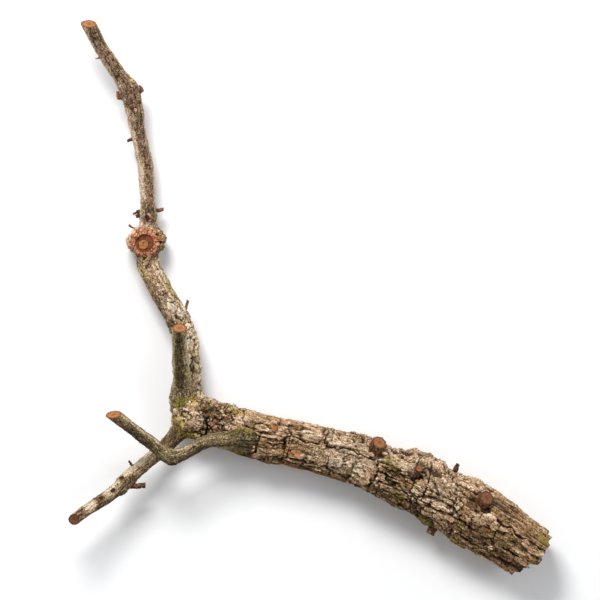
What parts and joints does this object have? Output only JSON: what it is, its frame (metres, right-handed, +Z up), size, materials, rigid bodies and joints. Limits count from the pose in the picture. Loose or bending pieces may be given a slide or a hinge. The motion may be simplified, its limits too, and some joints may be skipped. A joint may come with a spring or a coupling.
{
  "type": "fallen tree branch",
  "caption": "Fallen cork-barked tree branch, lying down, with a thick torn butt, a forked slender leader with a swollen knot, and trimmed side shoots.",
  "frame": {"origin": "middle of the branch's footprint, on the ground it lies on", "axes": "+Z up, +Y the way the slender leader points, +X towards the torn butt"},
  "size_m": [0.368, 0.4214, 0.0704],
  "materials": {
    "cork_bark": "deeply cracked corky bark, matt",
    "grey_bark": "thin flaking bark with lichen, matt",
    "dark_bark": "smooth olive-brown young bark, matt",
    "dead_wood": "dry red-brown dead wood, matt"
  },
  "bodies": {
    "root": {"main_limb": "cork_bark", "knot_burl": "cork_bark", "leader": "grey_bark", "upper_leader": "grey_bark", "leader_tip": "grey_bark", "lower_shoot": "grey_bark", "upright_shoot": "dark_bark", "crooked_shoot": "dark_bark", "stub_mid": "dead_wood", "stub_small": "dead_wood", "stub_butt": "dead_wood", "edge_peg": "dead_wood", "edge_chip": "dead_wood", "fork_stub_right": "dead_wood", "fork_stub_left": "dead_wood", "tip_spur": "dead_wood", "leader_spur": "dead_wood", "burl_peg": "dead_wood", "burl_hook": "dead_wood", "green_spur": "grey_bark", "shoot_twig": "dead_wood", "shoot_spur": "dead_wood"}
  },
  "joints": []
}
